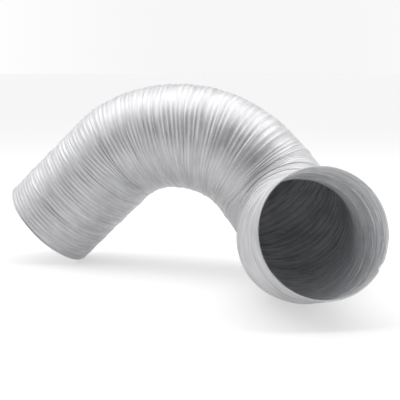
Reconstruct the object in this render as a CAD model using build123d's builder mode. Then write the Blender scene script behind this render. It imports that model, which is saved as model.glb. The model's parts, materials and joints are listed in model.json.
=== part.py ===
from build123d import *
from math import cos, degrees, radians, sin, sqrt
import os

# Flexible semi-rigid aluminium air duct, standing on a floor in the shape it was last bent to.
# It stands on the tail's rim and on a short run behind the mouth, which is lifted a little.
# Millimetres, +Z up. The mouth opens towards -Y and the tail leg comes down towards -X.
# The origin is the centre of the footprint, on the floor.

# --- Wall: one aluminium strip, corrugated, wound in a helix and locked turn to turn ---
BORE_R = 50.0              # inside the corrugations, for a 100 mm spigot
FOIL = 0.6                 # thickness of the wall as modelled
RIB_DEPTH = 1.7            # corrugation, trough to crest
RIBS_PER_TURN = 6          # corrugations rolled into the strip between its two locked edges
TURN_TARGET = 28.0         # advance of the strip per turn
FLAT = 1.4                 # flat in each trough and on each crest of the two end turns

# --- Lock seam: both edges of the strip folded over each other between two turns ---
SEAM_WIDTH = 3.0
SEAM_PROUD = 0.3           # how far the fold stands above the crests
SEAM_EDGE = 0.6            # rounding of the fold's outer corners
SEAM_GAP = 0.3             # clearance between a seam and the turn that bends beside it

# --- Course of the centreline, from the tail's rim to the mouth ---
TAIL_RISE = 43.6           # the straight tail leg's slope up from its rim
TAIL_ARCH_RADIUS = 98.5
TAIL_ARCH_ANGLE = 29.3     # what the arch turns at first, on the tail's side
LEG_ARCH_RADIUS = 117.0
LEG_ARCH_ANGLE = 62.7      # what it turns from there down to the leg's foot
BEND_RADIUS = 64.0         # tight bend from the leg onto the floor
FLOOR_RUN = 52.5           # straight run that lies on the floor
LIFT_RADIUS = 233.0        # gentle bend up from the floor
MOUTH_RUN = 41.5           # straight run behind the mouth
ARCH_YAW = -17.8           # the arch's plane, turned from +X about the vertical
ARCH_LEAN = -3.1           # and leaned over about its own level line
FLOOR_YAW = -4.0           # the floor run's direction, turned from -Y towards +X
MOUTH_YAW = 9.9            # the mouth's direction, turned in the same way
MOUTH_RISE = 14.8          # and tipped up

CREST_R = BORE_R + RIB_DEPTH + FOIL
SEAM_R = CREST_R + SEAM_PROUD
SEAM_BORE_R = BORE_R + RIB_DEPTH / 2
RIM_R = BORE_R + FOIL


def straight(start, length):
    """A straight run: its length, and the plane across the duct at a distance along it."""
    def across(s):
        return Plane(start.origin + start.z_dir * s, x_dir=start.x_dir, z_dir=start.z_dir)
    return length, across


def bend(start, radius, angle, axis):
    """A run that turns by an angle about an axis, given in the same way."""
    centre = start.origin + axis.cross(start.z_dir) * radius
    about = Axis(start.origin, axis)

    def across(s):
        turned = degrees(s / radius)
        spoke = (start.origin - centre).rotate(about, turned)
        return Plane(
            centre + spoke,
            x_dir=start.x_dir.rotate(about, turned),
            z_dir=start.z_dir.rotate(about, turned),
        )
    return radius * radians(angle), across


def bend_to(start, radius, direction):
    """A run that turns to a direction the shortest way."""
    axis = start.z_dir.cross(direction).normalized()
    return bend(start, radius, start.z_dir.get_angle(direction), axis)


def heading(yaw, rise):
    """The direction turned from -Y towards +X by a yaw, and tipped up by a rise."""
    return Vector(0, -1, 0).rotate(Axis.X, -rise).rotate(Axis.Z, yaw)


def lay_course(origin, tail_run):
    """Every run of the duct in order, with the start of the arch at an origin."""
    along = Vector(1, 0, 0).rotate(Axis.Z, ARCH_YAW)
    up = Vector(0, 0, 1).rotate(Axis((0, 0, 0), along), ARCH_LEAN)
    arch_axis = up.cross(along)
    rise = along * cos(radians(TAIL_RISE)) + up * sin(radians(TAIL_RISE))

    rim = Plane(origin - rise * tail_run, x_dir=arch_axis, z_dir=rise)
    runs = [straight(rim, tail_run)]
    runs.append(bend(end_of(runs), TAIL_ARCH_RADIUS, TAIL_ARCH_ANGLE, arch_axis))
    runs.append(bend(end_of(runs), LEG_ARCH_RADIUS, LEG_ARCH_ANGLE, arch_axis))
    runs.append(bend_to(end_of(runs), BEND_RADIUS, heading(FLOOR_YAW, 0)))
    floor = end_of(runs).origin.Z - SEAM_R
    runs.append(straight(end_of(runs), FLOOR_RUN))
    runs.append(bend_to(end_of(runs), LIFT_RADIUS, heading(MOUTH_YAW, MOUTH_RISE)))
    runs.append(straight(end_of(runs), MOUTH_RUN))
    return runs, floor


def end_of(runs):
    """The plane across the duct at the end of the last run."""
    length, across = runs[-1]
    return across(length)


def plane_at(s, runs):
    """The plane across the duct at a distance along the whole course."""
    for length, across in runs:
        if s <= length or across is runs[-1][1]:
            return across(s)
        s -= length


def reach(plane, direction):
    """How far a crest at this plane reaches along a unit direction."""
    slope = plane.z_dir.dot(direction)
    return plane.origin.dot(direction) + CREST_R * sqrt(max(0.0, 1 - slope**2))


def middle_of(runs, length):
    """The middle of the duct's box along X and Y."""
    planes = [plane_at(s, runs) for s in range(int(length) + 1)] + [plane_at(length, runs)]
    middles = []
    for direction in (Vector(1, 0, 0), Vector(0, 1, 0)):
        high = max(reach(plane, direction) for plane in planes)
        low = -max(reach(plane, direction * -1) for plane in planes)
        middles.append((low + high) / 2)
    return middles


# The tail leg is as long as it takes to bring its rim down to the floor under the floor run.
trial, floor = lay_course(Vector(0, 0, 0), 0)
rim_slope = trial[0][1](0).z_dir.Z
TAIL_RUN = -(floor + RIM_R * sqrt(1 - rim_slope**2)) / rim_slope
trial, floor = lay_course(Vector(0, 0, 0), TAIL_RUN)
LENGTH = sum(length for length, _ in trial)
COURSE, _ = lay_course(Vector(*middle_of(trial, LENGTH), floor) * -1, TAIL_RUN)
TURNS = round(LENGTH / TURN_TARGET)
TURN = LENGTH / TURNS


def sleeve(outside, inside):
    """A closed skin round the course, from its outer and its inner (distance, radius) rings."""
    with BuildPart() as skin:
        for s, radius in outside:
            with BuildSketch(plane_at(s, COURSE)):
                Circle(radius)
        loft(ruled=True)
        for s, radius in inside:
            with BuildSketch(plane_at(s, COURSE)):
                Circle(radius)
        loft(ruled=True, mode=Mode.SUBTRACT)
    return skin


def bending_turn(start, end):
    """One turn of strip that follows the course, with corrugations that open and close."""
    step = (end - start) / (2 * RIBS_PER_TURN)
    rings = [(start + i * step, BORE_R + RIB_DEPTH * (i % 2)) for i in range(2 * RIBS_PER_TURN + 1)]
    return sleeve([(s, radius + FOIL) for s, radius in rings], rings)


def end_turn(start, end):
    """A straight turn at a rim: its troughs have cylindrical flats that sit on a spigot."""
    rib = (end - start - FLAT) / RIBS_PER_TURN
    slope = (rib - 2 * FLAT) / 2
    inner = []
    for i in range(RIBS_PER_TURN):
        foot = i * rib
        inner += [(BORE_R, foot), (BORE_R, foot + FLAT)]
        inner += [(BORE_R + RIB_DEPTH, foot + FLAT + slope)]
        inner += [(BORE_R + RIB_DEPTH, foot + 2 * FLAT + slope)]
    inner += [(BORE_R, end - start - FLAT), (BORE_R, end - start)]
    outer = [(radius + FOIL, s) for radius, s in reversed(inner)]
    base = plane_at(start, COURSE)
    with BuildPart() as turn:
        with BuildSketch(Plane(base.origin, x_dir=base.x_dir, z_dir=base.x_dir.cross(base.z_dir))):
            with BuildLine():
                Polyline(*inner, *outer, close=True)
            make_face()
        revolve(axis=Axis(base.origin, base.z_dir))
    return turn


def lock_seam(middle):
    """The folded lock between two turns, a narrow band that stands proud of the crests."""
    start = middle - SEAM_WIDTH / 2
    end = middle + SEAM_WIDTH / 2
    outside = [
        (start, SEAM_R - SEAM_EDGE),
        (start + SEAM_EDGE, SEAM_R),
        (end - SEAM_EDGE, SEAM_R),
        (end, SEAM_R - SEAM_EDGE),
    ]
    return sleeve(outside, [(start, SEAM_BORE_R), (end, SEAM_BORE_R)])


def keep(part, name):
    """Label a finished piece and write it out."""
    part.part.label = name
    export_step(part.part, f"parts/{name}.step")


def main():
    os.makedirs("parts", exist_ok=True)
    print(f"length {LENGTH:.1f}, {TURNS} turns of {TURN:.2f}")

    # --- The wall, turn by turn. A bending turn clears the seam on its tail side ---
    half_seam = SEAM_WIDTH / 2
    keep(end_turn(0, TURN - half_seam), "wall_turn_01")
    for turn in range(2, TURNS):
        start = (turn - 1) * TURN + half_seam + SEAM_GAP
        keep(bending_turn(start, turn * TURN - half_seam), f"wall_turn_{turn:02d}")
    keep(end_turn(LENGTH - TURN + half_seam, LENGTH), f"wall_turn_{TURNS:02d}")

    # --- The lock seams between them ---
    for seam in range(1, TURNS):
        keep(lock_seam(seam * TURN), f"lock_seam_{seam:02d}")


main()
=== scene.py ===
import json
import math

import bpy
import numpy as np
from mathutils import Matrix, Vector


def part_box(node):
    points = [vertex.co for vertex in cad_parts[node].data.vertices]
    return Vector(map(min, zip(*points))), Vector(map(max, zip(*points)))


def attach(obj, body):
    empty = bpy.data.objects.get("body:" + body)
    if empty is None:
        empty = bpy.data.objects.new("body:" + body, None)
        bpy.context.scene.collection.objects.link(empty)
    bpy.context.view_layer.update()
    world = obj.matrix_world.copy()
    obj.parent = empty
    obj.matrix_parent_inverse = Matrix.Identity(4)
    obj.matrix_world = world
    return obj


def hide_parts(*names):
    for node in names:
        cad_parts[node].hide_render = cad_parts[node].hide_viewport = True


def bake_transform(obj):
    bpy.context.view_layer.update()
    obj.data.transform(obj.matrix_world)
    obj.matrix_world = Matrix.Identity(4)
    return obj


# Flexible semi-rigid aluminium air duct. The wall is one thin shell, wound from a corrugated strip
# whose edges are locked to each other every turn. It is cut into one piece per turn of strip, which
# follows the CAD body on its two sides where both are the same and is left in place where they differ.
# Lengths are in metres. Places along the duct are counted in turns of the strip from the tail, and
# places around it as angles.

MM = 0.001

# --- The wall, with radii to its outer face ---
TROUGH_R = 51.65 * MM          # in a corrugation's trough
CREST_R = 52.1 * MM            # on its crest
SEAM_R = 52.3 * MM             # on the folded lock seam
SEAM_SINK = 0.4 * MM           # what the seam loses where a bend draws the wall to double length
FOIL = 0.35 * MM               # thickness
RIBS_PER_TURN = 6
RIB_SHARPNESS = 1.5            # power that narrows a sine-squared crest
SEAM_SHARE = 0.125             # share of the strip's width that the lock seam takes
SEAM_EDGE = 0.018              # share over which each of the seam's sides rises

# --- How the ribs of the arch lean, in degrees, at these turns ---
LEAN_TURNS = (0, 3.4, 5.0, 6.5, 8.0, 9.6)
LEAN_DEGREES = (1.5, 2.0, 8.0, 15.0, 10.0, 0.0)
LEAN_BLEND = 0.8               # turns over which the lean is evened out, each way

# --- How deep the ribs are left by wear, at these turns ---
WORN_TURNS = (0, 6.5, 8.5, 11.5, 13, 16, 17.5)
WORN_DEPTH = (0.85, 0.9, 0.5, 0.5, 0.85, 0.7, 0.4)

# --- How bends change it: ribs pressed together rise a little, then fold shut. Opened ribs rise ---
PRESSED_RISE = 0.5
PRESSED_FOLD = 1.2
OPENED_RISE = 1.2
BENT_DEPTHS = (0.25, 1.7)      # the least and the most

# --- How uneven the wall is ---
SPARE_VALUES = 12              # random values past the ends of the duct, which leaning ribs reach
RIB_SHIFT = 0.016              # turns that ribs shift along the duct
CREASE_SHIFT = 0.01            # turns that broader creases shift them
PRESSED_CREASE_SHIFT = 0.08    # and what is added inside bends
RIB_UNEVEN = 0.3               # share of the ribs' depth
OUT_OF_ROUND = 0.25 * MM
DENT = 0.10 * MM

# --- Kinks inside the bends, with sizes in millimetres ---
KINK_TRIES = 150
KINK_FROM = 0.12               # least share that the wall is pressed together by
KINK_LENGTHS = (2.5, 6)        # along the duct
KINK_WIDTHS = (5, 12)          # around it
KINK_HEIGHTS = (-1.5, 0.6)     # outwards
KINK_STRENGTH = 1.6

# --- The two cut rims ---
COLLAR_R = 51.7 * MM           # outside of the flattened collar
COLLAR_FLATNESS = 0.85         # share of the ribs' depth that is pressed out of it
COLLAR_FADE = (0.5 * MM, 4.0 * MM)
HEM = 0.9 * MM                 # what the turned edge adds to the foil
HEM_FADE = (0.9 * MM, 1.4 * MM)
EDGE_ROUND = 0.5 * MM          # length over which the turned edge rounds off
EDGE_LEAST = 0.1
CUT_FADE = 5 * MM              # how far in the cut's waves and the nick reach
TAIL_CUT = ((0.35 * MM, 2, 1), (0.2 * MM, 7, 2.1))          # height, waves around and phase
MOUTH_CUT = ((0.35 * MM, 2, 0.4), (0.25 * MM, 5, 2.6))
NICK_TOWARDS = (0.86, 0.0, -0.51)
NICK_WIDTH = 2.2 * MM
NICK_DEPTH = 1.3 * MM          # inwards
NICK_SLIP = 1.1 * MM           # back along the duct

# --- Painted shade in the foil's troughs and behind the hem, as a share of its colour turned to grey ---
TROUGH_SHADE_OUTSIDE = 0.25
TROUGH_SHADE_INSIDE = 0.35
HEM_SHADE = 0.9
DEEP_OUTSIDE = (0.5, 1.0)      # depths, as a share of a rib, between which the painted shade comes in
DEEP_INSIDE = (0.6, 1.0)
BEHIND_HEM = 1.7 * MM          # from the rim
BEHIND_HEM_WIDTH = 0.5 * MM

# --- The mesh ---
RINGS_PER_TURN = 66
AROUND = 256
CURVE_BLEND = 0.5              # turns over which the course's curving is evened out, each way

# --- The foil's streaks. A scale is in cycles over a radius, twice across the duct and then along it ---
BROAD_STREAKS = {"scale": (2.2, 2.2, 9.0), "detail": 4.0, "roughness": 0.6}
FINE_STREAKS = {"scale": (1.7, 1.7, 48.0), "detail": 5.0, "roughness": 0.7}
GRAIN = {"scale": (60.0, 60.0, 60.0), "detail": 4.0, "roughness": 0.6}
GLINT_SPOTS = {"scale": (7.0, 7.0, 34.0), "detail": 2.0, "roughness": 0.6}
GLINT_EDGE = (0.60, 0.66)      # noise between which the painted glints come in
NOISE_RANGE = (0.3, 0.7)       # that nearly all noise lies in
BUMP_HEIGHT = 0.4 * MM

# --- The camera ---
CAMERA_AT = (0.0324, -0.9620, 0.1999)
CAMERA_DOWN = math.radians(7.24)
CAMERA_YAW = math.radians(-0.45)
LENS = 94.2                    # in millimetres, as is the sensor
SENSOR = 36

# --- The daylight: its brightness from each side, and the directions between which it changes ---
WORLD_FRONT = 0.28
WORLD_BACK = 1.16
WORLD_LEFT = 0.80              # these two are added to the first two
WORLD_RIGHT = 0.70
FRONT_TO_BACK = (-0.7, 0.6)    # along Y
LEFT_TO_MIDDLE = (-1.0, 0.0)   # along X
MIDDLE_TO_RIGHT = (0.1, 0.9)

# --- The lamp overhead ---
LAMP_AT = (-0.2, 0.18, 1.1)
LAMP_AIM = (-0.2, 0.08, 0)
LAMP_SIZE = (2.4, 1.1)
LAMP_POWER = 14

# --- The floor ---
FLOOR_SIZE = 60
FLOOR_GAP = 0.3 * MM           # under the duct
FLOOR_GREY = 0.50
FLOOR_GLOW = 0.45
FLOOR_ROUGHNESS = 0.9

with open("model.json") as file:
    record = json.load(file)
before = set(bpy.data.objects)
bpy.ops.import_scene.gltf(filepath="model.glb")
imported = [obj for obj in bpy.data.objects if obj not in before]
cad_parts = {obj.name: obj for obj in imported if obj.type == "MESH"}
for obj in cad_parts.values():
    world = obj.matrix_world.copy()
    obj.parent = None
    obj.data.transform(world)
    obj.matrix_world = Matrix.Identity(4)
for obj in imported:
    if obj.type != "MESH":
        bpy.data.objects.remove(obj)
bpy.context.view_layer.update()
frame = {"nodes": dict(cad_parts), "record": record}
rng = np.random.default_rng(7)


# ---------------------------------------------------------------- the course of the duct

def unit(v):
    return v / np.linalg.norm(v, axis=-1, keepdims=True)


def node_points(name):
    """Every vertex of a CAD node."""
    mesh = frame["nodes"][name].data
    points = np.empty(len(mesh.vertices) * 3)
    mesh.vertices.foreach_get("co", points)
    return points.reshape(-1, 3)


def ring_of(name):
    """The centre of a CAD ring, and the direction of its axis."""
    low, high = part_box(name)
    centre = (np.array(low) + np.array(high)) / 2
    _, _, axes = np.linalg.svd(node_points(name) - centre, full_matrices=False)
    return centre, axes[2]


def lay_stations():
    """Centre and direction of the duct at its tail rim, at every lock seam and at its mouth rim."""
    seams = sorted(name for name in frame["nodes"] if name.startswith("lock_seam"))
    turns = sorted(name for name in frame["nodes"] if name.startswith("wall_turn"))
    rings = [ring_of(name) for name in seams]
    centres = np.array([centre for centre, _ in rings])
    axes = np.array([axis for _, axis in rings])
    onward = np.gradient(centres, axis=0)
    axes *= np.sign(np.sum(axes * onward, axis=1, keepdims=True))
    back = ((node_points(turns[0]) - centres[0]) @ axes[0]).min()
    ahead = ((node_points(turns[-1]) - centres[-1]) @ axes[-1]).max()
    tail = centres[0] + axes[0] * back
    mouth = centres[-1] + axes[-1] * ahead
    return np.vstack([tail, centres, mouth]), np.vstack([axes[0], axes, axes[-1]])


def lay_course(centres, axes):
    """Centre and direction at every ring of the mesh, on smooth curves through the stations."""
    points, directions = [], []
    for k in range(len(centres) - 1):
        a, b, ta, tb = centres[k], centres[k + 1], axes[k], axes[k + 1]
        turned = math.acos(min(1.0, ta @ tb))
        pull = np.linalg.norm(b - a) * 2 / (1 + math.cos(turned / 2))
        last = k == len(centres) - 2
        for t in np.arange(RINGS_PER_TURN + last) / RINGS_PER_TURN:
            t2, t3 = t * t, t * t * t
            points.append((2 * t3 - 3 * t2 + 1) * a + (t3 - 2 * t2 + t) * pull * ta
                          + (3 * t2 - 2 * t3) * b + (t3 - t2) * pull * tb)
            directions.append((6 * t2 - 6 * t) * (a - b) + (3 * t2 - 4 * t + 1) * pull * ta
                              + (3 * t2 - 2 * t) * pull * tb)
    return np.array(points), unit(np.array(directions))


def carry(directions, first):
    """A direction across the duct that is carried along it without twisting."""
    across = np.empty_like(directions)
    across[0] = unit(first - directions[0] * (first @ directions[0]))
    for i in range(1, len(directions)):
        across[i] = unit(across[i - 1] - directions[i] * (across[i - 1] @ directions[i]))
    return across


def smooth_along(values, turns):
    """Values at every ring, smoothed along the duct over about this many turns each way."""
    reach = int(RINGS_PER_TURN * turns)
    window = np.hanning(2 * reach + 1)
    window /= window.sum()
    padded = np.concatenate([np.repeat(values[:1], reach, 0), values, np.repeat(values[-1:], reach, 0)])
    return np.stack([np.convolve(column, window, "valid") for column in padded.T], axis=1)


stations, station_axes = lay_stations()
TURNS = len(stations) - 1
centre, along = lay_course(stations, station_axes)
RINGS = len(centre)
turn_at = np.arange(RINGS) / RINGS_PER_TURN
even_turns = np.repeat(turn_at[:, None], AROUND, axis=1)
steps = np.linalg.norm(np.diff(centre, axis=0), axis=1)
s_at = np.concatenate([[0], np.cumsum(steps)])
LENGTH = s_at[-1]
TURN = LENGTH / TURNS

# Angle 0 is the outside of the arch, and a quarter turn on is the flank towards -Y.
outward = carry(along, np.array([0.0, 0.0, 1.0]))
sideways = np.cross(along, outward)
angle = np.arange(AROUND) * 2 * math.pi / AROUND
spoke = (outward[:, None] * np.cos(angle)[None, :, None]
         + sideways[:, None] * np.sin(angle)[None, :, None])

# How far every point is from the tail's rim, from the mouth's and from the nearer one.
to_tail = s_at[:, None]
to_mouth = (LENGTH - s_at)[:, None]
to_rim = np.minimum(to_tail, to_mouth)

# The share by which the bends press the wall together along the duct, or open it.
curving = smooth_along(np.gradient(along, s_at, axis=0), CURVE_BLEND)
stretch = 1 - TROUGH_R * np.einsum("ix,ijx->ij", curving, spoke)
pressed = np.clip(1 - stretch, 0, 1)
opened = np.clip(stretch - 1, 0, 1)


# ---------------------------------------------------------------- the wall's shape

def smoothstep(low, high, x):
    t = np.clip((x - low) / (high - low), 0, 1)
    return t * t * (3 - 2 * t)


def wander(turns, per_turn, waves, fade=1.0):
    """A smooth random field of about unit size over the strip: so many independent values per turn,
    with up to so many waves around the duct, each weaker than the last by a power of its number.
    The field starts a turn and two values before the tail."""
    knots = int(TURNS * per_turn) + SPARE_VALUES
    field = np.zeros((knots, AROUND))
    for wave in range(waves + 1):
        size = rng.normal(size=(knots, 1)) / (1 + wave) ** fade
        start = rng.uniform(0, 2 * math.pi, size=(knots, 1))
        field += size * np.cos(wave * angle[None, :] + start)
    field /= field.std()
    place = (turns + 1) * per_turn + 2
    low = np.clip(np.floor(place).astype(int), 0, knots - 2)
    part = smoothstep(0, 1, place - low)
    column = np.arange(AROUND)[None, :]
    return field[low, column] * (1 - part) + field[low + 1, column] * part


def lay_strip():
    """The turn of strip, with its fraction, that each point of the wall is on: its ribs lean and wander."""
    lean = smooth_along(np.interp(turn_at, LEAN_TURNS, LEAN_DEGREES)[:, None], LEAN_BLEND)
    lean_turns = np.tan(np.radians(lean)) * CREST_R / TURN * np.cos(angle)[None, :]
    strip = even_turns + lean_turns
    strip = strip + RIB_SHIFT * wander(strip, per_turn=6.6, waves=3)
    crease_shift = CREASE_SHIFT + PRESSED_CREASE_SHIFT * pressed
    return strip + crease_shift * wander(strip, per_turn=2.1, waves=7, fade=0.6)


def corrugate(strip):
    """How high each point is on a corrugation, and how much it belongs to the flat lock seam."""
    across_strip = strip - np.floor(strip)
    from_seam = np.minimum(across_strip, 1 - across_strip)
    in_seam = 1 - smoothstep(SEAM_SHARE / 2 - SEAM_EDGE, SEAM_SHARE / 2, from_seam)
    rib = np.clip((across_strip - SEAM_SHARE / 2) / (1 - SEAM_SHARE), 0, 1) * RIBS_PER_TURN
    return (np.sin(math.pi * rib) ** 2) ** RIB_SHARPNESS, in_seam


def rib_depth(strip):
    """How deep the ribs are, worn and bent as they are."""
    worn = np.interp(turn_at, WORN_TURNS, WORN_DEPTH)[:, None]
    bent = 1 + PRESSED_RISE * pressed - PRESSED_FOLD * pressed ** 2 + OPENED_RISE * opened
    uneven = 1 + RIB_UNEVEN * wander(strip, per_turn=6.6, waves=2)
    return (CREST_R - TROUGH_R) * worn * np.clip(bent, *BENT_DEPTHS) * uneven


def kink():
    """Small kinks on the inside of the bends, where ribs fold over each other."""
    kinks = np.zeros((RINGS, AROUND))
    for _ in range(KINK_TRIES):
        at_ring = rng.integers(0, RINGS)
        at_angle = rng.integers(0, AROUND)
        weight = pressed[at_ring, at_angle]
        if weight < KINK_FROM:
            continue
        from_ring = (s_at - s_at[at_ring])[:, None]
        from_angle = (angle - angle[at_angle] + math.pi) % (2 * math.pi) - math.pi
        length = rng.uniform(*KINK_LENGTHS) * MM
        width = rng.uniform(*KINK_WIDTHS) * MM
        bump = np.exp(-(from_ring / length) ** 2 - (from_angle[None, :] * CREST_R / width) ** 2)
        kinks += bump * rng.uniform(*KINK_HEIGHTS) * MM * weight * KINK_STRENGTH
    return kinks


def shape_wall(strip, crest, in_seam):
    """Radius of the wall's outer face, which isn't quite round and has shallow dents from handling."""
    ripple = TROUGH_R + rib_depth(strip) * crest
    radius = ripple * (1 - in_seam) + (SEAM_R - SEAM_SINK * opened) * in_seam
    radius += OUT_OF_ROUND * wander(even_turns, per_turn=0.8, waves=4, fade=0.5)
    radius += DENT * wander(even_turns, per_turn=3.0, waves=14, fade=0.2)
    return radius + kink()


def finish_rims(radius):
    """Radii of both faces, where each rim's last corrugation is pressed flat and its edge turned over."""
    near_rim = COLLAR_FLATNESS * (1 - smoothstep(*COLLAR_FADE, to_rim))
    radius = radius * (1 - near_rim) + COLLAR_R * near_rim
    rounding = np.sqrt(np.clip(to_rim / EDGE_ROUND, EDGE_LEAST, 1))
    hem = (1 - smoothstep(*HEM_FADE, to_rim)) * rounding
    radius = radius + HEM / 2 * hem
    return radius, radius - FOIL - HEM * hem


def nick_mouth():
    """How much each point belongs to the nick in the mouth's edge, low on its right."""
    nick_at = np.argmax(spoke[-1] @ unit(np.array(NICK_TOWARDS)))
    away = (np.arange(AROUND) - nick_at + AROUND // 2) % AROUND - AROUND // 2
    away = away * 2 * math.pi * CREST_R / AROUND
    return np.exp(-(away / NICK_WIDTH) ** 2)[None, :] * (1 - smoothstep(0, CUT_FADE, to_mouth))


def cut(waves, to_cut):
    """How far the wall runs out towards the mouth near a rim that wasn't cut quite straight."""
    wave = sum(height * np.cos(count * angle + phase) for height, count, phase in waves)
    return wave[None, :] * (1 - smoothstep(0, CUT_FADE, to_cut))


def paint_shade(crest, in_seam):
    """Painted shade on both faces: in their troughs, which inside lie behind the crests, and behind the
    hem.
    """
    trough = (1 - crest) * (1 - in_seam)
    behind_hem = HEM_SHADE * np.exp(-((to_rim - BEHIND_HEM) / BEHIND_HEM_WIDTH) ** 2)
    outside = TROUGH_SHADE_OUTSIDE * smoothstep(*DEEP_OUTSIDE, trough)
    inside = TROUGH_SHADE_INSIDE * smoothstep(*DEEP_INSIDE, 1 - trough)
    return np.maximum(outside, behind_hem), np.maximum(inside, behind_hem)


def face_points(radii, slip):
    """The points of one face of the wall."""
    return centre[:, None] + spoke * radii[..., None] + along[:, None] * slip[..., None]


strip = lay_strip()
crest, in_seam = corrugate(strip)
outer, inner = finish_rims(shape_wall(strip, crest, in_seam))
nick = nick_mouth()
slip = cut(TAIL_CUT, to_tail) + cut(MOUTH_CUT, to_mouth) - NICK_SLIP * nick
outer_points = face_points(outer - NICK_DEPTH * nick, slip)
inner_points = face_points(inner - NICK_DEPTH * nick, slip)
# Painted shade for the troughs and behind the hem, on both faces.
painted_shade_outside, painted_shade_inside = paint_shade(crest, in_seam)


# ---------------------------------------------------------------- materials

# Places of the Mix node's colour sockets, whose names it also uses for its other kinds.
MIX_FACTOR, MIX_A, MIX_B, MIX_RESULT = 0, 6, 7, 2


class Nodes:
    """Shorthand for building the nodes of a material or a world."""

    def __init__(self, owner):
        owner.use_nodes = True
        self.tree = owner.node_tree
        self.tree.nodes.clear()

    def add(self, kind, inputs=None, **settings):
        node = self.tree.nodes.new(kind)
        for key, value in settings.items():
            setattr(node, key, value)
        for key, value in (inputs or {}).items():
            if isinstance(value, bpy.types.NodeSocket):
                self.tree.links.new(value, node.inputs[key])
            else:
                node.inputs[key].default_value = value
        return node

    def add_surface(self, inputs):
        """A Principled shader that is the material's surface."""
        shader = self.add("ShaderNodeBsdfPrincipled", inputs)
        self.add("ShaderNodeOutputMaterial", {"Surface": shader.outputs["BSDF"]})


def streaks(nodes, scale, detail, roughness):
    """Noise over the strip."""
    where = nodes.add("ShaderNodeAttribute", attribute_name="strip")
    spread = nodes.add("ShaderNodeMapping", {"Vector": where.outputs["Vector"], "Scale": scale})
    noise = nodes.add("ShaderNodeTexNoise", {"Vector": spread.outputs["Vector"], "Scale": 1.0,
                                             "Detail": detail, "Roughness": roughness})
    return noise.outputs["Fac"]


def ramp(nodes, factor, dark, light):
    """From the dark colour at 0 to the light one at 1."""
    node = nodes.add("ShaderNodeValToRGB", {"Fac": factor})
    for element, colour in zip(node.color_ramp.elements, (dark, light)):
        element.color = (*colour, 1)
    return node.outputs["Color"]


def remap(nodes, factor, low, high, to_low, to_high, **settings):
    inputs = {"Value": factor, "From Min": low, "From Max": high, "To Min": to_low, "To Max": to_high}
    return nodes.add("ShaderNodeMapRange", inputs, **settings).outputs["Result"]


def total(nodes, a, b):
    return nodes.add("ShaderNodeMath", {0: a, 1: b}, operation="ADD").outputs[0]


def mix(nodes, factor, a, b):
    mixed = nodes.add("ShaderNodeMix", {MIX_FACTOR: factor, MIX_A: a, MIX_B: b}, data_type="RGBA")
    return mixed.outputs[MIX_RESULT]


def foil(name, dark, light, roughness, bump, glint=0.0, metallic=1.0, contrast=0.25,
         shade_grey=(0.38, 0.38, 0.39)):
    """Rolled aluminium foil, with streaks that run around the duct as the strip was rolled.
    Its roughness is given as the least and the most."""
    material = bpy.data.materials.new(name)
    nodes = Nodes(material)
    broad = streaks(nodes, **BROAD_STREAKS)
    fine = streaks(nodes, **FINE_STREAKS)
    grain = streaks(nodes, **GRAIN)

    streaked = remap(nodes, total(nodes, broad, fine), 1 - contrast, 1 + contrast, 0, 1)
    # Painted glints: rare white flecks mixed into the colour.
    glints = remap(nodes, streaks(nodes, **GLINT_SPOTS), *GLINT_EDGE, 0.0, glint)
    unshaded = mix(nodes, glints, ramp(nodes, streaked, dark, light), (1, 1, 1, 1))
    # Painted shade: the colour is mixed towards a darker grey in the troughs and behind the hem, as the
    # mesh's attribute says.
    painted_shade = nodes.add("ShaderNodeAttribute", attribute_name="painted_shade").outputs["Fac"]

    bumps = {"Height": total(nodes, fine, grain), "Strength": bump, "Distance": BUMP_HEIGHT}
    nodes.add_surface({
        "Base Color": mix(nodes, painted_shade, unshaded, (*shade_grey, 1)),
        "Metallic": metallic,
        "Roughness": remap(nodes, broad, *NOISE_RANGE, *roughness),
        "Normal": nodes.add("ShaderNodeBump", bumps).outputs["Normal"]})
    return material


outside_foil = foil("outside_foil", dark=(0.42, 0.42, 0.43), light=(0.63, 0.63, 0.64),
                    roughness=(0.46, 0.56), bump=0.4)
# The inside is a lighter, nearly matt copy of the same foil, painted brighter to stand in for light
# reflected around inside the duct.
inside_foil_painted_light = foil("inside_foil_painted_light", dark=(0.70, 0.71, 0.74), light=(1.0, 1.0, 1.0),
                   roughness=(0.36, 0.5), bump=0.9, glint=1.0, metallic=0.1, contrast=0.12,
                   shade_grey=(0.24, 0.25, 0.28))
cut_edge = foil("cut_edge", dark=(0.72, 0.72, 0.72), light=(0.90, 0.90, 0.90),
                roughness=(0.4, 0.5), bump=0.1)


# ---------------------------------------------------------------- the pieces

def shell_faces(rings):
    """Faces of the closed shell around so many rings, and their kinds: 0 outside, 1 inside, 2 end."""
    count = rings * AROUND
    far = (rings - 1) * AROUND
    i = np.arange(rings - 1)[:, None] * AROUND
    j = np.arange(AROUND)
    j_next = (j + 1) % AROUND
    outside = np.stack([i + j, i + AROUND + j, i + AROUND + j_next, i + j_next], axis=-1).reshape(-1, 4)
    start = np.stack([j, j_next, count + j_next, count + j], axis=-1)
    end = np.stack([far + j, count + far + j, count + far + j_next, far + j_next], axis=-1)
    faces = np.concatenate([outside[:, ::-1], outside + count, start[:, ::-1], end[:, ::-1]])
    return faces, np.repeat([0, 1, 2], [len(outside), len(outside), 2 * AROUND])


def mesh_of(name, points, faces, kinds):
    """A smooth mesh of four-sided faces, whose materials are their kinds."""
    mesh = bpy.data.meshes.new(name)
    mesh.vertices.add(len(points))
    mesh.vertices.foreach_set("co", points.ravel())
    mesh.loops.add(faces.size)
    mesh.loops.foreach_set("vertex_index", faces.ravel())
    mesh.polygons.add(len(faces))
    mesh.polygons.foreach_set("loop_start", np.arange(len(faces)) * 4)
    mesh.polygons.foreach_set("material_index", kinds)
    mesh.polygons.foreach_set("use_smooth", np.ones(len(faces), bool))
    mesh.update(calc_edges=True)
    mesh.validate()
    return mesh


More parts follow.
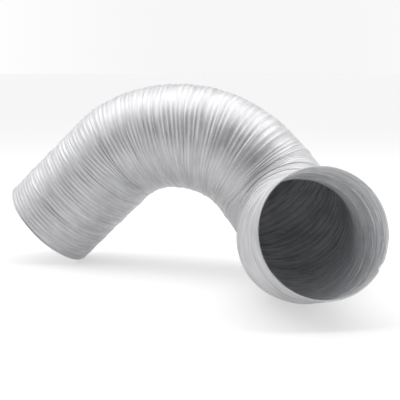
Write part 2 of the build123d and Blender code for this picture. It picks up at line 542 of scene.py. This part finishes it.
def mark_places(mesh, rings):
    """Where each point would be on a straight duct, in radii, and how much painted shade it takes, for the
    materials.
    """
    onward = strip[rings] * TURN / CREST_R
    face = np.stack(np.broadcast_arrays(np.cos(angle), np.sin(angle), onward), axis=-1)
    where = mesh.attributes.new("strip", "FLOAT_VECTOR", "POINT")
    where.data.foreach_set("vector", np.concatenate([face, face]).ravel())
    painted_shade = mesh.attributes.new("painted_shade", "FLOAT", "POINT")
    painted_shade.data.foreach_set("value", np.concatenate([painted_shade_outside[rings], painted_shade_inside[rings]]).ravel())


def sharpen_ends(mesh, rings):
    """Keeps the edges on both end rings of a shell with so many rings sharp."""
    vertices = np.empty(len(mesh.edges) * 2, int)
    mesh.edges.foreach_get("vertices", vertices)
    on_face = vertices.reshape(-1, 2) % (rings * AROUND)
    on_end = ((on_face < AROUND) | (on_face >= (rings - 1) * AROUND)).all(axis=1)
    sharp = mesh.attributes.new("sharp_edge", "BOOLEAN", "EDGE")
    sharp.data.foreach_set("value", on_end)


def shell(name, first, last):
    """The closed thin shell between two rings of the mesh."""
    rings = slice(first, last + 1)
    points = np.concatenate([outer_points[rings], inner_points[rings]]).reshape(-1, 3)
    mesh = mesh_of(name, points, *shell_faces(last - first + 1))
    mark_places(mesh, rings)
    sharpen_ends(mesh, last - first + 1)
    for material in (outside_foil, inside_foil_painted_light, cut_edge):
        mesh.materials.append(material)
    piece = bpy.data.objects.new(name, mesh)
    bpy.context.scene.collection.objects.link(piece)
    return piece


node_body = {}
for body, members in frame["record"]["behaviour"]["bodies"].items():
    for member in members:
        node_body[member] = body

for turn in range(1, TURNS + 1):
    first, last = (turn - 1) * RINGS_PER_TURN, turn * RINGS_PER_TURN
    piece = shell(f"foil_turn_{turn:02d}", first, last)
    stands_for = [f"wall_turn_{turn:02d}"]
    if turn < TURNS:
        stands_for.append(f"lock_seam_{turn:02d}")
    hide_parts(*stands_for)
    behind = node_body[f"lock_seam_{max(turn - 1, 1):02d}"]
    ahead = node_body[f"lock_seam_{min(turn, TURNS - 1):02d}"]
    if behind == ahead:
        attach(piece, ahead)
    else:
        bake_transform(piece)


# ---------------------------------------------------------------- floor, light and camera

def paper():
    """Pale paper that glows a little, so that the duct's shadow on it stays soft."""
    material = bpy.data.materials.new("floor_paper")
    Nodes(material).add_surface({
        "Base Color": (FLOOR_GREY, FLOOR_GREY, FLOOR_GREY, 1), "Roughness": FLOOR_ROUGHNESS,
        "Emission Color": (1, 1, 1, 1), "Emission Strength": FLOOR_GLOW})
    return material


def add_floor():
    bpy.ops.mesh.primitive_plane_add(size=FLOOR_SIZE, location=(0, 0, -FLOOR_GAP))
    floor = bpy.context.object
    floor.name = "floor"
    floor.data.materials.append(paper())


def add_lamp():
    """A wide soft lamp over the duct."""
    light = bpy.data.lights.new("overhead", "AREA")
    light.shape = "RECTANGLE"
    light.size, light.size_y = LAMP_SIZE
    light.energy = LAMP_POWER
    lamp = bpy.data.objects.new("overhead", light)
    lamp.location = LAMP_AT
    lamp.rotation_euler = (Vector(LAMP_AIM) - Vector(LAMP_AT)).to_track_quat("-Z", "Y").to_euler()
    bpy.context.scene.collection.objects.link(lamp)


def add_world():
    """Soft daylight that is brighter behind the duct and beside it than in front of it."""
    world = bpy.data.worlds.new("studio")
    bpy.context.scene.world = world
    nodes = Nodes(world)
    where = nodes.add("ShaderNodeTexCoord").outputs["Generated"]
    direction = nodes.add("ShaderNodeSeparateXYZ", {0: where}).outputs

    def slope(axis, *ranges):
        return remap(nodes, direction[axis], *ranges, interpolation_type="SMOOTHSTEP")

    left = slope("X", *LEFT_TO_MIDDLE, WORLD_LEFT, 0.0)
    right = slope("X", *MIDDLE_TO_RIGHT, 0.0, WORLD_RIGHT)
    depth = slope("Y", *FRONT_TO_BACK, WORLD_FRONT, WORLD_BACK)
    strength = total(nodes, depth, total(nodes, left, right))
    light = nodes.add("ShaderNodeBackground", {"Strength": strength})
    nodes.add("ShaderNodeOutputWorld", {"Surface": light.outputs[0]})


def add_camera():
    camera = bpy.data.objects.new("camera", bpy.data.cameras.new("camera"))
    camera.data.sensor_width = SENSOR
    camera.data.lens = LENS
    camera.location = CAMERA_AT
    camera.rotation_euler = (math.pi / 2 - CAMERA_DOWN, 0, -CAMERA_YAW)
    bpy.context.scene.collection.objects.link(camera)
    bpy.context.scene.camera = camera


add_camera()
add_floor()
add_world()
add_lamp()
bpy.context.scene.view_settings.view_transform = "Standard"
